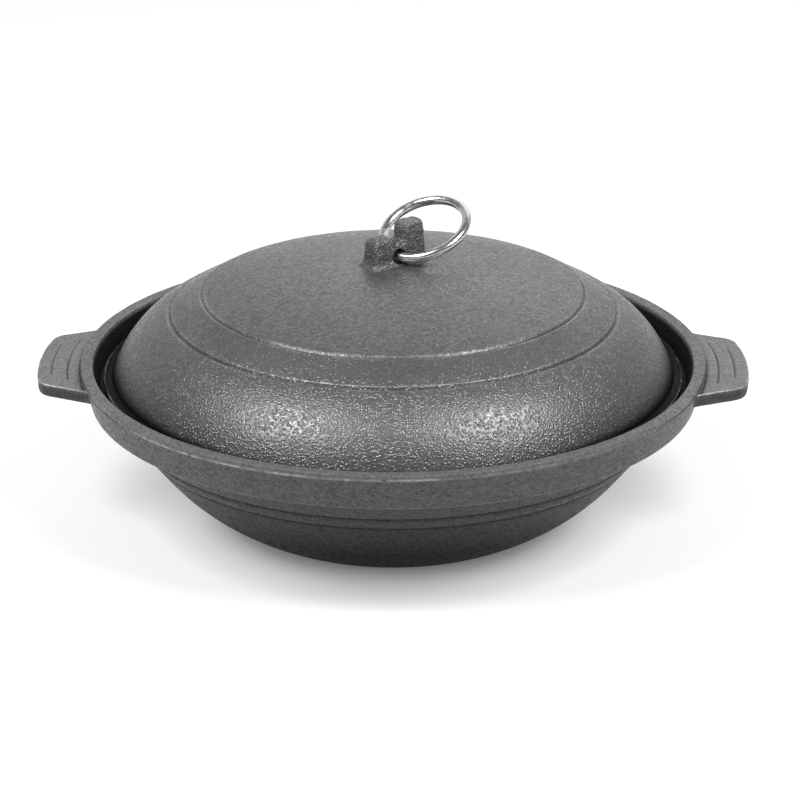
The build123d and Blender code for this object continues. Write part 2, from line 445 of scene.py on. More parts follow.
@dataclass(frozen=True)
class CastIronFinish:
    """Dark, lightly oiled cast iron with the grain of its sand mould.

    Args:
        skin: How coarse the mould's sand was.
        tone: Mean brightness of the iron.
        pebble_depth: Height of the larger grain, in millimetres like the other sizes.
        grit_depth: Height of the finer grain.
        shine: Roughness of the smoothest grains.
        dull: Roughness of the dullest ones.
        speckle: How far the grain changes the colour, from 0 to 1.
        pebble: Size of the larger grain.
        grit: Size of the finer grain.
        metal: How far the iron's skin reflects as bare metal.
        gloss: Strength of the oily skin's reflection, 0.5 for plain glass.
        patch: Size of the light and dark patches.
        cloud: Size of the small clouds on them.
        rub: Size of the gaps in the lightened edges, rubbed bare and painted highlight.
        hole_spacing: Distance between the blow holes in a group.
        hole_group: Size of a group of them.
        hole_depth: Depth of a hole.
    """

    skin: Skin
    tone: float
    pebble_depth: float
    grit_depth: float
    shine: float
    dull: float
    speckle: float
    pebble: float = 0.85
    grit: float = 0.45
    metal: float = 0.1
    gloss: float = 0.9
    patch: float = 22.0
    cloud: float = 6.5
    rub: float = 2.2
    hole_spacing: float = 3.1
    hole_group: float = 9.0
    hole_depth: float = 0.5

    def material(self) -> Material:
        """Build the finish.

        Returns:
            The material.
        """
        nodes = Nodes(f"cast_iron_{self.skin.value}_{round(self.tone * 1000)}")
        painted_shade = nodes.stored("painted_shade")
        patches = nodes.noise(self.patch, 3.0, 0.55)
        clouds = nodes.noise(self.cloud)
        distance, tint = nodes.cells(self.pebble)
        chance = nodes.add("ShaderNodeSeparateColor", {0: tint}).outputs[0]
        beads = nodes.span(distance, 0.05, 0.70, 1.0, 0.0)
        grain = nodes.times(beads, nodes.math("MULTIPLY_ADD", chance, 0.75, 0.25))
        grain = nodes.times(grain, nodes.less(nodes.stored("calm")))
        grit = nodes.noise(self.grit, 3.0, 0.62)
        normal = nodes.bump(grit, self.grit_depth, Normal=nodes.bump(grain, self.pebble_depth))
        mixed = nodes.math("MULTIPLY_ADD", chance, 0.6, nodes.times(nodes.span(grit, 0.34, 0.66), 0.4))
        dark, bright = grey(self.tone * (1 - self.speckle)), grey(self.tone * (1 + self.speckle), 0.004)
        colour = nodes.blend(mixed, dark, bright)
        shade = nodes.span(nodes.math("MULTIPLY_ADD", clouds, 0.5, patches), 0.55, 0.95)
        colour = nodes.blend(nodes.times(shade, 0.15), colour, grey(self.tone * 1.4, 0.006))
        # painted shade: the stored mask darkens the colour to near black in hollows, grooves, the gap, under
        # the bowl and on sides that get less light
        colour = nodes.blend(painted_shade, colour, grey(self.tone * 0.06))
        # rubbed bare edges and painted highlights: the stored mask, broken into gaps, lightens the colour
        # along edges and lips
        gaps = nodes.span(nodes.noise(self.rub, 3.0, 0.6), 0.36, 0.62, 0.25, 1.0)
        gaps = nodes.times(gaps, nodes.span(patches, 0.40, 0.60, 0.3, 1.0))
        wear_and_highlight = nodes.times(nodes.stored("wear_and_highlight"), gaps)
        colour = nodes.blend(wear_and_highlight, colour, grey(min(0.5, self.tone * 4.5), 0.004))
        colour, normal = self._pitted(nodes, colour, normal)
        rough = nodes.span(chance, 0.1, 0.9, self.dull, self.shine)
        return nodes.finish({
            "Base Color": colour,
            "Roughness": nodes.math("MULTIPLY_ADD", nodes.math("SUBTRACT", clouds, 0.5), 0.06, rough),
            # the painted shade also takes away most of the metal and the reflection
            "Metallic": nodes.times(nodes.less(painted_shade), self.metal),
            "Specular IOR Level": nodes.math("MULTIPLY_ADD", painted_shade, -0.98 * self.gloss, self.gloss),
            "Normal": normal,
        })

    def _pitted(self, nodes: Nodes, colour: Socket, normal: Socket) -> tuple[Socket, Socket]:
        """Add blow holes where the mesh stores pitting.

        Args:
            nodes: The material's nodes.
            colour: Colour so far.
            normal: Normal so far.

        Returns:
            The new colour and normal.
        """
        holes = nodes.span(nodes.cells(self.hole_spacing)[0], 0.13, 0.20, 1.0, 0.0)
        holes = nodes.times(holes, nodes.span(nodes.noise(self.hole_group), 0.46, 0.54))
        holes = nodes.times(holes, nodes.stored("pitting"))
        sunk = nodes.bump(nodes.less(holes), self.hole_depth, Normal=normal)
        return nodes.blend(holes, colour, grey(0.012)), sunk


@dataclass(frozen=True)
class PolishedWireFinish:
    """Bright steel wire with a fine grain and a few rubs.

    Args:
        tone: Brightness of the steel.
        shine: Roughness where it is bright.
    """

    tone: float = 0.74
    shine: float = 0.16

    def material(self) -> Material:
        """Build the finish.

        Returns:
            The material.
        """
        nodes = Nodes("polished_wire")
        rubs = nodes.noise(3.0, 4.0, 0.6)
        bright = nodes.span(rubs, 0.35, 0.7)
        return nodes.finish({
            "Base Color": nodes.blend(bright, grey(self.tone * 0.86), grey(self.tone, 0.008)),
            "Metallic": 1.0,
            "Roughness": nodes.span(rubs, 0.3, 0.75, self.shine, self.shine + 0.12),
            "Normal": nodes.bump(nodes.noise(0.5), 0.006),
        })


@dataclass(frozen=True)
class FloorFinish:
    """Plain matt white light table and backdrop, whose glow is dimmed round the pot as a painted contact
    shadow.

    Args:
        tone: Brightness of the sheet.
        glow: Light that comes through it.
        painted_shadow_glow: Dimmer glow under the pot, a painted shadow.
        painted_shadow_radius: Distance in metres from the pot's axis where the darkest painted shadow ends.
        clear_radius: Distance where the full light starts.
    """

    tone: float = 0.48
    glow: float = 0.45
    painted_shadow_glow: float = 0.05
    painted_shadow_radius: float = 0.055
    clear_radius: float = 0.089

    def material(self) -> Material:
        """Build the finish.

        Returns:
            The material.
        """
        nodes = Nodes("light_table")
        reach = nodes.add("ShaderNodeVectorMath", {0: nodes.place}, operation="LENGTH").outputs["Value"]
        # painted shadow: the glow fades towards the pot's axis
        glow = nodes.span(reach, self.painted_shadow_radius, self.clear_radius, self.painted_shadow_glow, self.glow)
        return nodes.finish({"Base Color": grey(self.tone), "Roughness": 0.9, "Specular IOR Level": 0.1,
                             "Emission Color": grey(1.0), "Emission Strength": glow})


def dress(piece: Piece, finish: Material, body: Body, node: str, sharp: float = 50.0) -> None:
    """Smooth a piece, give it its finish, hang it on its body and hide the CAD part that it stands for.

    Args:
        piece: The object.
        finish: Its material.
        body: The body that it rides on.
        node: The CAD node that it stands for.
        sharp: Turn in degrees above which its edges stay sharp.
    """
    piece.data.shade_smooth()
    piece.data.set_sharp_from_angle(angle=math.radians(sharp))
    piece.data.materials.clear()
    piece.data.materials.append(finish)
    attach(piece, body.value)
    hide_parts(node)
    LOG.info("%s: %d points, %d faces", piece.name, len(piece.data.vertices), len(piece.data.polygons))


@dataclass
class PotCasting:
    """The bowl and its flared collar, in millimetres and degrees."""

    height: float = 68.0
    bowl_radius: float = 118.2
    wall: float = 4.8
    flare: float = 56.8
    foot_slope: float = 24.8
    upper_curve: float = 310.0
    upper_turn: float = 6.2
    upper_share: float = 0.42
    collar_depth: float = 15.3
    collar_step: float = 7.8
    collar_flare: float = 4.4
    rim_land: float = 5.3
    seat_depth: float = 8.4
    seat_taper: float = 3.1
    seam_depth: float = 0.35
    seam_step: float = 0.30
    seam_drop: float = 1.75
    face_drop: float = 1.9
    face_inset: float = 0.62
    groove_drops: Point2 = (11.7, 17.3)
    segments: int = 256

    @property
    def collar_foot(self) -> float:
        """Height of the collar's lower edge."""
        return self.height - self.collar_depth

    @property
    def collar_foot_radius(self) -> float:
        """Outer radius of the collar's lower edge."""
        return self.bowl_radius + self.collar_step

    @property
    def rim_radius(self) -> float:
        """Outer radius of the rim, before its corner is rounded."""
        return self.collar_foot_radius + self.collar_flare

    @property
    def seat_radius(self) -> float:
        """Inner radius of the collar at the lid's ledge."""
        return self.rim_radius - self.rim_land - self.seat_taper

    @property
    def ledge_radius(self) -> float:
        """Inner radius of the ledge."""
        return self.bowl_radius - self.wall

    def bowl_arc(self, share: float) -> tuple[float, float, float]:
        """A point on the outside of the bowl.

        Args:
            share: From 0 at the collar to 1 at the foot.

        Returns:
            Radius, height and slope in radians.
        """
        flare = math.radians(self.flare)
        middle = math.radians(self.flare - self.upper_turn)
        foot = math.radians(self.foot_slope)
        knee_z = self.collar_foot - self.upper_curve * (math.cos(middle) - math.cos(flare))
        knee_r = self.bowl_radius - self.upper_curve * (math.sin(flare) - math.sin(middle))
        lower_curve = knee_z / (math.cos(foot) - math.cos(middle))
        if share < self.upper_share:
            slope = flare + (middle - flare) * share / self.upper_share
            r = self.bowl_radius - self.upper_curve * (math.sin(flare) - math.sin(slope))
            z = self.collar_foot - self.upper_curve * (math.cos(slope) - math.cos(flare))
        else:
            slope = middle + (foot - middle) * (share - self.upper_share) / (1 - self.upper_share)
            r = knee_r - lower_curve * (math.sin(middle) - math.sin(slope))
            z = knee_z - lower_curve * (math.cos(slope) - math.cos(middle))
        return r, z, slope

    def outside(self) -> list[Knot]:
        """The bowl's outside from the foot up to the collar, with its bead."""
        reliefs = (Relief(14.2, 1.2, -0.62), Relief(17.4, 3.2, 0.30), Relief(21.0, 0.9, -0.30),
                   Relief(1.9, 1.4, -0.25))
        steps, found = 150, []
        arc = [self.bowl_arc(i / steps) for i in range(steps + 1)]
        for (r, z, slope), along in zip(arc, distances([place[:2] for place in arc])):
            lift = sum(relief.lift(along) for relief in reliefs)
            found.append(Knot(r + lift * math.sin(slope), z - lift * math.cos(slope)))
        return found[::-1]

    def inside(self) -> list[Knot]:
        """The bowl's inside from the ledge down to its floor."""
        steps, found = 40, []
        for i in range(steps + 1):
            r, z, slope = self.bowl_arc(i / steps)
            z += self.wall * math.cos(slope)
            if z > self.wall:
                found.append(Knot(min(r - self.wall * math.sin(slope), self.ledge_radius), z))
        return found

    def section(self) -> HalfSection:
        """The whole half section, from the foot's centre round to the floor's centre.

        Returns:
            The section, with close rows on the collar's face for the mould's seam.
        """
        outside = self.outside()
        inside = self.inside()
        inner = self.rim_radius - self.rim_land
        seat = self.height - self.seat_depth
        lean = self.collar_flare / self.collar_depth
        knots = [Knot(0.0, 0.0), Knot(outside[0].r - 0.4, 0.0, 1.2)]
        knots += outside[1:-1]
        knots += [
            Knot(self.bowl_radius + 0.2, self.collar_foot, 1.6),
            Knot(self.collar_foot_radius, self.collar_foot, 1.1, 0.35),
            *(Knot(self.rim_radius - down * lean, self.height - down) for down in np.arange(4.4, 1.1, -0.2)),
            Knot(self.rim_radius, self.height, 1.1, 0.12),
            Knot(inner, self.height, 0.9, 0.2),
            Knot(self.seat_radius, seat, 0.9),
            Knot(self.ledge_radius, seat, 0.7),
        ]
        knots += inside
        knots.append(Knot(inside[-1].r - 1.5, self.wall, 0.0))
        knots.append(Knot(0.0, self.wall))
        return HalfSection(knots).trace()

    def _from_front(self, place: Vector) -> float:
        """Turn from the front to a place, in radians, below zero on the left."""
        return math.atan2(place.x, -place.y)

    def _above_seam(self, place: Vector) -> float:
        """Height of a place above the mould's seam, in millimetres; the seam dips beside the handles."""
        turn = self._from_front(place)
        return place.z / MM - self.height + self.seam_drop + (1 - math.cos(turn)) - 0.4 * math.sin(turn)

    def _seam(self, place: Vector) -> float:
        """How far a place lies in the dark part of the seam, beside the handles, from 0 to 1."""
        dark = eased((abs(self._from_front(place)) - 0.85) / 0.2) * bell(self._above_seam(place), 0.34)
        return dark if from_axis(place) >= self.rim_radius - self.rim_land else 0.0

    def _press_seam(self, bowl: Piece) -> None:
        """Sink the seam beside the handles, and in front leave it as a step whose lower lip is lightened, as
        iron rubbed bare and as a painted highlight that is strongest at the front left.

        Args:
            bowl: The bowl's mesh.
        """
        lightening = [item.value for item in bowl.data.attributes["wear_and_highlight"].data]
        for i, vertex in enumerate(bowl.data.vertices):
            if vertex.co.z < self.collar_foot * MM:
                continue
            out, turn, above = from_axis(vertex.co), self._from_front(vertex.co), self._above_seam(vertex.co)
            sunk = self._seam(vertex.co) * self.seam_depth
            if out > self.rim_radius - self.rim_land + 1.2:
                front = eased((1.05 - abs(turn)) / 0.2)
                sunk += front * self.seam_step * eased((above + 0.1) / 0.5)
                # painted highlight: the lower lip in front is lightened most at the front left, where the
                # light catches it, on top of its rubbing
                rubbed = 0.35 + 0.65 * eased((0.75 - abs(turn + 0.40)) / 0.35)
                lightening[i] = max(lightening[i], front * rubbed * bell(above + 0.05, 0.42))
            inwards = max(sunk, out - (self.rim_radius - self.face_inset)) * MM
            vertex.co -= Vector((vertex.co.x, vertex.co.y, 0.0)).normalized() * inwards
        store_values(bowl, "wear_and_highlight", lightening)

    def build(self, finish: Material) -> None:
        """Make the bowl and dress it in its cast iron.

        Args:
            finish: The cast iron.
        """
        bowl = self.section().lathe("pot_bowl", self.segments)
        self._press_seam(bowl)
        cast_ripple(bowl, 0.05, 7.0, 1.0)
        for name, values in zip(("pitting", "painted_shade"), zip(*(self._pitting_and_painted_shade(v.co) for v in bowl.data.vertices))):
            store_values(bowl, name, values)
        dress(bowl, finish, Body.POT, "pot")

    def _pitting_and_painted_shade(self, place: Vector) -> Point2:
        """How pitted a place is, and its painted shade: the bowl's outside is painted darker from the collar
        to the foot.

        Args:
            place: A point of the bowl, in metres.

        Returns:
            The share of blow holes and the painted shade, both from 0 to 1.
        """
        high, out = place.z / MM, from_axis(place)
        below = self.collar_foot - high
        upper, lower = self.groove_drops
        few = high < self.collar_foot + 1 or high > self.height - 1.5
        pitting = 0.12 if few else float(out > self.collar_foot_radius)
        # painted shade: the inside of the collar and the seat is painted almost black
        if below < -self.wall and out < self.rim_radius - self.rim_land - 0.25:
            return pitting, 0.95
        if below < 0:
            # painted shade on the collar's face, in the seam beside the handles and where the handles meet
            # the collar
            beside = eased((27.0 - abs(place.y) / MM) / 3.0) * bell(high - self.height + self.face_drop, 0.4)
            face = 0.35 * eased(self.height - self.face_drop - high)
            return pitting, max(face, 0.9 * self._seam(place), 0.8 * beside)
        pitting = 1.0 if abs(below - upper) < 1.6 else pitting
        # painted shade on the bowl's inside
        if out < self._inner_radius(high):
            return pitting, 0.6
        # painted shade: darker towards the foot and in the two grooves
        fade = 0.60 + 0.20 * eased((below - 11.0) / 8.0) + 0.17 * eased((below - 19.0) / 20.0)
        return pitting, max(bell(below - upper, 0.6), 0.9 * bell(below - lower, 0.5), fade)

    def _inner_radius(self, high: float) -> float:
        """Radius that divides the bowl's outside from its inside at a height.

        Args:
            high: The height.

        Returns:
            The radius of the middle of the wall, or 0 below the foot.
        """
        for i in range(21):
            r, z, slope = self.bowl_arc(i / 20)
            if z <= high:
                return r - self.wall * 0.5 * math.sin(slope)
        return 0.0


@dataclass
class TabHandle:
    """The two tab handles, cast with the collar, in millimetres and degrees."""

    pot: PotCasting
    reach: float = 17.48
    tip_curve: float = 130.0
    drop: float = 3.2
    thickness: float = 5.8
    half_width: float = 34.4
    arc_half_width: float = 17.0
    taper: float = 24.0
    corner: float = 8.5
    web: float = 10.0
    root_radius: float = 126.3
    hub_radius: float = 127.6
    web_turn: float = 0.12
    step_height: float = 0.5
    step_reaches: tuple[float, ...] = (11.3, 4.6)
    step_half_widths: tuple[float, ...] = (17.0, 24.0)
    step_corner: float = 4.0
    foot_groove: float = 0.42
    top_rows: int = 60

    @property
    def top(self) -> float:
        """Height of the plain top, outside its steps."""
        return self.pot.height - self.drop

    def outline(self) -> list[Vector]:
        """Plan of the tab on the +X side, from its +Y root round the tip to the other root."""
        spread = math.tan(math.radians(self.taper))
        root = self._root_point(spread)
        lean = math.atan2(root[1], root[0]) + self.web_turn
        half = [Knot(self._tip_x(y), y) for y in np.linspace(0.0, self.arc_half_width, 8)]
        half += [Knot(*self._corner_point(spread), self.corner), Knot(*root, self.web),
                 Knot(self.hub_radius * math.cos(lean), self.hub_radius * math.sin(lean))]
        upper = [Vector(p[:2]) for p in HalfSection(half, step=0.7, corner_points=26).trace().points]
        return upper[::-1] + [Vector((p.x, -p.y)) for p in upper[1:]]

    def _tip_x(self, y: float) -> float:
        """How far the tip's arc reaches at a place across."""
        return self.pot.rim_radius + self.reach - (self.tip_curve - math.sqrt(self.tip_curve ** 2 - y * y))

    def _corner_point(self, spread: float) -> Point2:
        """Where the tip's arc meets the side, which slants by a spread."""
        places = [(self._tip_x(y), y) for y in np.linspace(self.half_width * 0.4, self.half_width, 400)]
        return next(p for p in places if p[1] >= self.half_width - (p[0] - self.pot.rim_radius) * spread)

    def _root_point(self, spread: float) -> Point2:
        """Where the side, which slants by a spread, meets the collar."""
        places = [(x, self.half_width + (self.pot.rim_radius - x) * spread)
                  for x in np.linspace(self.pot.rim_radius, self.pot.rim_radius * 0.8, 800)]
        return next(p for p in places if math.hypot(*p) <= self.hub_radius)

    def relief(self, x: float, y: float) -> Point3:
        """The steps above the plain top, with their rubbed lips and painted shade at their feet and at the
        root.

        Args:
            x: Place along the handle.
            y: Place across it.

        Returns:
            The height, the rubbing of the lips and the painted shade.
        """
        high, rub, painted_dark = 0.0, 0.0, 0.0
        radius = math.hypot(x, y)
        for reach, half in zip(self.step_reaches, self.step_half_widths):
            inside = self.pot.rim_radius + reach - radius
            across = eased((half - abs(y)) / self.step_corner + 0.5)
            high += self.step_height * across * eased((inside + 0.15) / 0.4)
            high -= self.foot_groove * across * bell(inside + 0.45, 0.36)
            # painted shade in the groove at each step's foot
            painted_dark = max(painted_dark, 0.7 * across * bell(inside + 0.40, 0.36))
            rub = max(rub, 0.15 * across * bell(inside - 0.45, 0.25))
        # painted shade where the handle meets the collar
        root = bell(radius - self.pot.rim_radius + 0.2, 0.5)
        return high - 0.2 * root, rub, max(painted_dark, 0.75 * root)

    def tab(self, name: str) -> Piece:
        """One handle on the +X side, as rings that run over its top, round its edge and under it.

        Args:
            name: Name of the new object.

        Returns:
            The closed mesh object.
        """
        outline = self.outline()
        under = self.top - self.thickness
        edge = [(self.top, 0.62, 0.25), (self.top - 0.09, 0.3, 0.9), (self.top - 0.3, 0.09, 0.9),
                (self.top - 0.62, 0.0, 0.0), (self.top - 2.0, 0.0, 0.0)]
        edge += [(under + up, inset, 0.0) for up, inset in
                 ((2.2, 0.05), (1.3, 0.25), (0.65, 0.65), (0.2, 1.25), (0.0, 2.1))]
        points = []
        for i, here in enumerate(outline):
            along = way_at(outline, i)
            inward = Vector((along.y, -along.x))
            start = here.normalized() * self.root_radius
            rim = here + inward * edge[0][1]
            for k in range(self.top_rows):
                at = start.lerp(rim, k / self.top_rows)
                high, rub, painted_dark = self.relief(at.x, at.y)
                points.append((at, self.top + high, rub, painted_dark))
            for high, inset, rub in edge:
                # painted shade: the handle's sides get darker downwards
                points.append((here + inward * inset, high, rub, 0.66 * eased((self.top - 0.3 - high) / 0.5)))
            # painted shade under the handle
            points.append((start, under, 0.0, 0.6))
        faces = tube_faces(len(outline), self.top_rows + len(edge) + 1)
        made = new_mesh(name, [(at.x * MM, at.y * MM, high * MM) for at, high, rub, painted_dark in points], faces)
        store_values(made, "wear_and_highlight", [rub for at, high, rub, painted_dark in points])
        store_values(made, "painted_shade", [painted_dark for at, high, rub, painted_dark in points])
        return made

    def build(self, finish: Material) -> None:
        """Make both handles and dress them in their cast iron.

        Args:
            finish: The cast iron.
        """
        pattern = self.tab("pattern")
        for side, turn in (("right", 0.0), ("left", math.pi)):
            handle = linked(f"handle_{side}", pattern.data.copy())
            handle.data.transform(Matrix.Rotation(turn, 4, "Z"))
            cast_ripple(handle, 0.05, 5.0)
            store_values(handle, "pitting", [0.1] * len(handle.data.vertices))
            dress(handle, finish, Body.POT, "pot")
        bpy.data.objects.remove(pattern)


def joined(name: str, pieces: Sequence[Piece]) -> Piece:
    """Join several meshes into one.

    Args:
        name: Name of the new object.
        pieces: The objects to join, which are used up.

    Returns:
        The new object.
    """
    work = bmesh.new()
    for piece in pieces:
        work.from_mesh(piece.data)
        bpy.data.objects.remove(piece)
    mesh = bpy.data.meshes.new(name)
    work.to_mesh(mesh)
    work.free()
    return linked(name, mesh)


@dataclass
class DomedLid:
    """The domed lid without its lug, in millimetres and degrees."""

    pot: PotCasting
    gap: float = 1.5
    wall: float = 4.5
    flange_width: float = 3.6
    flange_height: float = 2.6
    rise: float = 49.0
    dome_curve: float = 264.0
    shoulder_width: float = 13.4
    shoulder_slope: float = 30.0
    flank_width: float = 24.2
    flank_bulge: float = 3.5
    segments: int = 256

    @property
    def seat(self) -> float:
        """Height of the ledge that the lid rests on."""
        return self.pot.height - self.pot.seat_depth

    @property
    def apex(self) -> float:
        """Height of the top of the dome."""
        return self.seat + self.rise

    @property
    def radius(self) -> float:
        """Outer radius of the flange."""
        return self.pot.seat_radius - self.gap

    @property
    def skirt_radius(self) -> float:
        """Radius of the flank where it meets the flange."""
        return self.radius - self.flange_width

    @property
    def dome_radius(self) -> float:
        """Radius of the dome's edge, where the inner groove runs."""
        return self.skirt_radius - self.flank_width - self.shoulder_width

    def outside(self) -> list[Point2]:
        """The outside from the apex down to the flange, without its grooves."""
        middle, curve = self.apex - self.dome_curve, self.dome_curve
        found = [(r, middle + math.sqrt(curve ** 2 - r * r)) for r in np.linspace(0.0, self.dome_radius, 80)]
        fall = math.tan(math.radians(self.shoulder_slope))
        r, z = found[-1]
        found += [(r + x, z - x * fall) for x in np.linspace(0.3, self.shoulder_width, 44)]
        return found + self._flank(found[-1], (self.skirt_radius, self.seat + self.flange_height))

    def _flank(self, start: Point2, end: Point2) -> list[Point2]:
        """Points along the rounded flank, after its start.

        Args:
            start: Its top, at the outer groove.
            end: Its foot, at the flange.

        Returns:
            The points.
        """
        a, b = Vector(start), Vector(end)
        chord = b - a
        radius = (chord.length / 2) ** 2 / (2 * self.flank_bulge) + self.flank_bulge / 2
        out = Vector((-chord.y, chord.x)).normalized()
        centre = (a + b) / 2 - out * (radius - self.flank_bulge)
        first = math.atan2(a.y - centre.y, a.x - centre.x)
        turn = 2 * math.asin(chord.length / 2 / radius)
        return [(centre.x + radius * math.cos(first - t), centre.y + radius * math.sin(first - t))
                for t in np.linspace(0.0, turn, 61)[1:]]

    def section(self) -> HalfSection:
        """The whole half section, from the apex round to the crown of the hollow.

        Returns:
            The section, with a groove at the dome's edge and one at the shoulder's edge.
        """
        outside = self.outside()
        alongs = distances(outside)
        grooves = []
        for edge in (self.dome_radius, self.dome_radius + self.shoulder_width):
            at = next(along for (r, z), along in zip(outside, alongs) if r >= edge - TINY)
            # the groove lips are lightened as iron rubbed bare and as a painted highlight
            grooves.append(Relief(at, 1.05, -0.75, 0.75))
        knots = []
        for i, ((r, z), along) in enumerate(zip(outside, alongs)):
            way = way_at(outside, i)
            lift = sum(groove.lift(along) for groove in grooves)
            rub = sum(groove.rub(along) for groove in grooves)
            knots.append(Knot(max(0.0, r - way.y * lift), z + way.x * lift, wear_and_highlight=rub))
        top = self.seat + self.flange_height
        knots[-1] = Knot(self.skirt_radius, top, 0.8)
        knots += [Knot(self.radius, top, 0.8, 1.0), Knot(self.radius, self.seat, 0.8),
                  Knot(self.skirt_radius - self.wall, self.seat, 0.6)]
        return HalfSection(knots + self._hollow(outside), step=1.3).trace()

    def _hollow(self, points: list[Point2]) -> list[Knot]:
        """The inside, one wall in from the outside, from the skirt up to the crown.

        Args:
            points: The outside.

        Returns:
            The corners of the inside.
        """
        found = []
        for i in range(len(points) - 2, 1, -3):
            way = way_at(points, i)
            r, z = points[i][0] + way.y * self.wall, points[i][1] - way.x * self.wall
            if z > self.seat + 1.0 and r > 1.0:
                found.append(Knot(min(r, self.skirt_radius - self.wall), z))
        return found + [Knot(0.0, self.apex - self.wall)]

    def build(self, finish: Material) -> None:
        """Make the lid and dress it in its cast iron.

        Args:
            finish: The cast iron.
        """
        shell = self.section().lathe("lid_shell", self.segments)
        cast_ripple(shell, 0.06, 6.0, self.seat + 1.0)
        store_values(shell, "painted_shade", [self._painted_shade_at(v.co) for v in shell.data.vertices])
        flank_start = self.dome_radius + self.shoulder_width
        calm = [0.5 * eased((flank_start - from_axis(v.co)) / 6.0) for v in shell.data.vertices]
        store_values(shell, "calm", calm)
        dress(shell, finish, Body.LID, "lid")

    def _painted_shade_at(self, place: Vector) -> float:
        """Painted shade of a place: the flange and the foot of the flank down in the gap beside the collar,
        reaching higher at the sides, and the grooves.

        Args:
            place: A point of the lid, in metres.

        Returns:
            The painted shade, from 0 to 1.
        """
        out = from_axis(place)
        beside = abs(place.x) / MM / out if out else 0.0
        high = place.z / MM - self.seat - self.flange_height
        # painted shade in the gap at the flank's foot, reaching higher at the sides
        foot = 1.0 - eased((high - 0.1) / (2.2 + 5.0 * beside ** 3))
        near = min(abs(out - self.dome_radius), abs(out - self.dome_radius - self.shoulder_width))
        # painted shade in the two grooves
        return max(foot, 0.55 * bell(near, 0.45))


@dataclass
class PiercedLug:
    """The two-lobed lug on top of the lid, in millimetres and degrees."""

    lid: DomedLid
    direction: float = 37.0
    lobe_length: float = 10.6
    short_height: float = 12.0
    tall_height: float = 17.2
    lobe_round: float = 2.6
    side_round: float = 2.2
    thickness: float = 9.2
    draft: float = 4.0
    web_length: float = 3.6
    web_height: float = 9.6
    web_overlap: float = 3.0
    sink: float = 1.5
    hole_radius: float = 3.2
    hole_floor: float = 0.2
    root_flare: float = 1.5
    tall_extra: float = 2.2
    grain: float = 0.22

    @property
    def hole_height(self) -> float:
        """Height of the middle of the hole above the foot."""
        return self.lid.apex + self.hole_floor + self.hole_radius

    def _lobe(self, name: str, near: float, far: float, height: float, corners: float) -> Piece:
        """One rounded lobe, as a stack of rounded rectangles.

        Args:
            name: Name of the new object.
            near: Its end next to the web.
            far: Its outer end.
            height: Its height above the dome.
            corners: How far its plan is rounded, from 0 to 1.

        Returns:
            The lobe, at the origin and along X.
        """
        lean = math.tan(math.radians(self.draft))
        levels = list(np.linspace(-self.sink, height - self.lobe_round, 10))
        levels += [height - self.lobe_round * (1 - math.sin(a)) for a in np.linspace(0.2, math.pi / 2, 7)]
        points, count = [], 40
        for high in levels:
            over = max(0.0, high - (height - self.lobe_round)) / self.lobe_round
            inset = self.lobe_round * (1 - math.sqrt(max(0.0, 1 - over * over)))
            flare = self.root_flare * max(0.0, 1 - (high + 0.3) / 2.6) ** 2
            half_y = self.thickness / 2 + 0.35 - high * lean - min(inset, self.side_round) + flare
            low_x = near + high * lean / 2 + inset * 0.8
            high_x = far - high * lean - inset + flare
            middle, half_x = (low_x + high_x) / 2, (high_x - low_x) / 2
            corner = min(half_x, half_y) * corners
            for k in range(count):
                a = 2 * math.pi * k / count
                x = middle + math.copysign(half_x - corner, math.cos(a + TINY)) + corner * math.cos(a)
                y = math.copysign(half_y - corner, math.sin(a + TINY)) + corner * math.sin(a)
                points.append((x * MM, y * MM, high * MM))
        return new_mesh(name, points, tube_faces(len(levels), count))

    def build(self, finish: Material) -> None:
        """Make the lug and dress it in its cast iron.

        Args:
            finish: The cast iron.
        """
        near = self.web_length / 2
        far = near + self.lobe_length
        short = self._lobe("short", near, far, self.short_height, 0.35)
        short.data.transform(Matrix.Rotation(math.pi, 4, "Z"))
        tall = self._lobe("tall", near, far + self.tall_extra, self.tall_height, 0.6)
        web = self._lobe("web", -near - self.web_overlap, near + self.web_overlap, self.web_height, 0.3)
        lug = joined("lid_lug", [short, tall, web])
        self._remesh(lug, 0.42)
        self._drill(lug)
        self._remesh(lug, 0.36)
        cast_ripple(lug, self.grain, 1.9)
        cast_ripple(lug, self.grain * 0.5, 0.9)
        lift = Matrix.Translation((0, 0, self.lid.apex * MM))
        lug.data.transform(lift @ Matrix.Rotation(math.radians(self.direction), 4, "Z"))
        low, rise = (self.lid.apex + self.web_height) * MM, (self.tall_height - self.web_height) * MM
        store_values(lug, "wear_and_highlight", [0.25 * max(0.0, (v.co.z - low) / rise) for v in lug.data.vertices])
        dress(lug, finish, Body.LID, "lid", 80.0)

    def _remesh(self, lug: Piece, voxel: float) -> None:
        """Melt overlapping shapes into one skin and ease its edges.

        Args:
            lug: The mesh object.
            voxel: Size of the grid, in millimetres.
        """
        melt = lug.modifiers.new("melt", "REMESH")
        melt.mode = "VOXEL"
        melt.voxel_size = voxel * MM
        ease = lug.modifiers.new("ease", "SMOOTH")
        ease.factor = 0.5
        ease.iterations = 2
        apply_modifiers(lug)

    def _drill(self, lug: Piece) -> None:
        """Cut the ring's hole.

        Args:
            lug: The mesh object.
        """
        points, count = [], 48
        for across in (-self.thickness, self.thickness):
            for k in range(count):
                a = 2 * math.pi * k / count
                high = self.hole_floor + self.hole_radius + self.hole_radius * math.sin(a)
                points.append((self.hole_radius * math.cos(a) * MM, across * MM, high * MM))
        drill = new_mesh("drill", points, tube_faces(2, count))
        cut = lug.modifiers.new("cut", "BOOLEAN")
        cut.operation = "DIFFERENCE"
        cut.solver = "EXACT"
        cut.object = drill
        apply_modifiers(lug)
        bpy.data.objects.remove(drill)


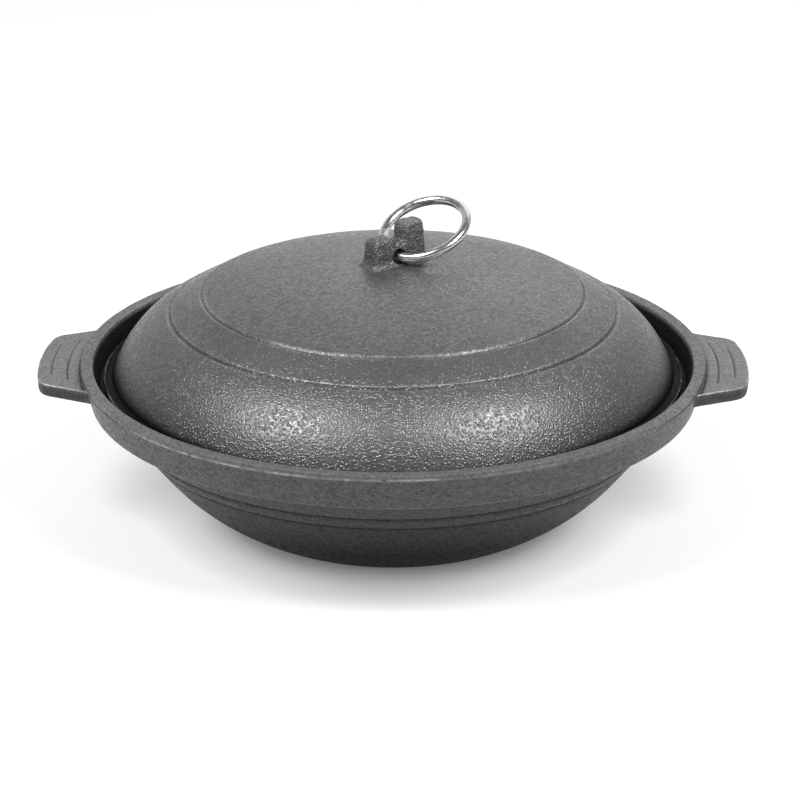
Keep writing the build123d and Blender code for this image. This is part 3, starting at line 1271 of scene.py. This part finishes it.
@dataclass
class PullRing:
    """The steel wire ring in the lug's hole, in millimetres and degrees."""

    lug: PiercedLug
    wire: float = 1.99
    radius: float = 18.0
    lean: float = 25.5
    skew: float = 6.0

    def build(self, finish: Material) -> None:
        """Make the ring and dress it in its steel.

        Args:
            finish: The steel.
        """
        turn, lean, skew = (math.radians(a) for a in (self.lug.direction, self.lean, self.skew))
        along_lug = Vector((math.cos(turn), math.sin(turn), 0.0))
        hole_axis = Vector((along_lug.y, -along_lug.x, 0.0))
        outward = along_lug * math.cos(lean) + Vector((0, 0, math.sin(lean)))
        tangent = hole_axis * math.cos(skew) + outward.cross(hole_axis) * math.sin(skew)
        normal = outward.cross(tangent)
        centre = Vector((0.0, 0.0, self.lug.hole_height)) + outward * self.radius
        points, around, across = [], 240, 32
        for i in range(around):
            a = 2 * math.pi * i / around
            out = outward * math.cos(a) + tangent * math.sin(a)
            for k in range(across):
                b = 2 * math.pi * k / across
                reach = self.radius + self.wire * math.cos(b)
                points.append(tuple((centre + out * reach + normal * (self.wire * math.sin(b))) * MM))
        ring = new_mesh("ring_wire", points, tube_faces(around, across, looped=True))
        dress(ring, finish, Body.RING, "lid_ring", 80.0)


@dataclass
class Studio:
    """Floor, lights and camera, in metres and degrees."""

    pot_height: float
    aim_height: float = 0.08
    sky: float = 0.17
    camera_back: float = 1.0938
    camera_up: float = 0.4154
    pitch: float = 21.745
    yaw: float = 0.150
    turn: float = 1.0
    lens: float = 126.06
    sensor: float = 36.0

    def build(self) -> None:
        """Make the floor, the lights, the sky and the camera."""
        self._floor()
        self._light("softbox_left", (-0.83, -0.55, 1.30), 0.66, 26.0)
        self._light("softbox_right", (0.82, -0.57, 1.30), 0.66, 27.0)
        self._light("top_back", (0.25, 1.15, 0.95), 1.2, 2.9)
        self._sky()
        self._camera()

    def _floor(self) -> None:
        """A plain pale floor that bends up into the backdrop."""
        half, front, rise, back, bend = 6.0, -4.0, 5.0, 3.2, 1.2
        line = [(front, 0.0), (back - bend, 0.0)]
        for a in np.linspace(0.1, math.pi / 2, 14):
            line.append((back - bend + bend * math.sin(a), bend * (1 - math.cos(a))))
        line.append((back, rise))
        mesh = bpy.data.meshes.new("floor")
        mesh.from_pydata([(x, y, z) for y, z in line for x in (-half, half)], [],
                         [[2 * i, 2 * i + 1, 2 * i + 3, 2 * i + 2] for i in range(len(line) - 1)])
        mesh.shade_smooth()
        mesh.materials.append(FloorFinish().material())
        linked("floor", mesh)

    def _light(self, name: str, place: Point3, size: float, power: float) -> None:
        """One square softbox that points at the pot.

        Args:
            name: Name of the light.
            place: Where it hangs.
            size: Length of its sides.
            power: Its power in watts.
        """
        lamp = bpy.data.lights.new(name, "AREA")
        lamp.shape = "SQUARE"
        lamp.size = size
        lamp.energy = power
        made = linked(name, lamp)
        made.location = place
        aim = Vector((0.0, 0.0, self.aim_height)) - Vector(place)
        made.rotation_euler = aim.to_track_quat("-Z", "Y").to_euler()

    def _sky(self) -> None:
        """Even white light from all round."""
        world = bpy.data.worlds.new("studio_sky")
        world.use_nodes = True
        shade = world.node_tree.nodes["Background"]
        shade.inputs["Color"].default_value = grey(1.0)
        shade.inputs["Strength"].default_value = self.sky
        bpy.context.scene.world = world

    def _camera(self) -> None:
        """The camera at the photograph's angle."""
        lens = bpy.data.cameras.new("camera")
        lens.lens = self.lens
        lens.sensor_width = self.sensor
        camera = linked("camera", lens)
        turn = math.radians(self.turn)
        back = Vector((math.sin(turn), -math.cos(turn), 0.0)) * self.camera_back
        camera.location = back + Vector((0.0, 0.0, self.pot_height + self.camera_up))
        camera.rotation_euler = (math.radians(90 - self.pitch), 0.0, turn - math.radians(self.yaw))
        bpy.context.scene.camera = camera
        bpy.context.scene.view_settings.view_transform = "Standard"


def main() -> None:
    """Build every piece in order."""
    logging.basicConfig(level=logging.INFO, format="%(name)s %(message)s")
    bowl_iron = CastIronFinish(Skin.FINE, tone=0.064, pebble_depth=0.20, grit_depth=0.09, shine=0.34,
                               dull=0.56, speckle=0.75, gloss=0.7).material()
    handle_iron = CastIronFinish(Skin.FINE, tone=0.084, pebble_depth=0.12, grit_depth=0.06, shine=0.42,
                                 dull=0.58, speckle=0.55, grit=0.42, gloss=0.8).material()
    lid_iron = CastIronFinish(Skin.PEBBLED, tone=0.043, pebble_depth=0.215, grit_depth=0.055, shine=0.26,
                              dull=0.44, speckle=0.85, pebble=0.98, grit=0.40, gloss=1.0).material()
    lug_iron = CastIronFinish(Skin.ROUGH, tone=0.06, pebble_depth=0.42, grit_depth=0.14, shine=0.17,
                              dull=0.5, speckle=0.8, metal=0.25).material()
    pot = PotCasting()
    pot.build(bowl_iron)
    TabHandle(pot).build(handle_iron)
    lid = DomedLid(pot)
    lid.build(lid_iron)
    lug = PiercedLug(lid)
    lug.build(lug_iron)
    PullRing(lug).build(PolishedWireFinish().material())
    Studio(pot.height * MM).build()
    bpy.context.view_layer.update()


if __name__ == "__main__":
    main()
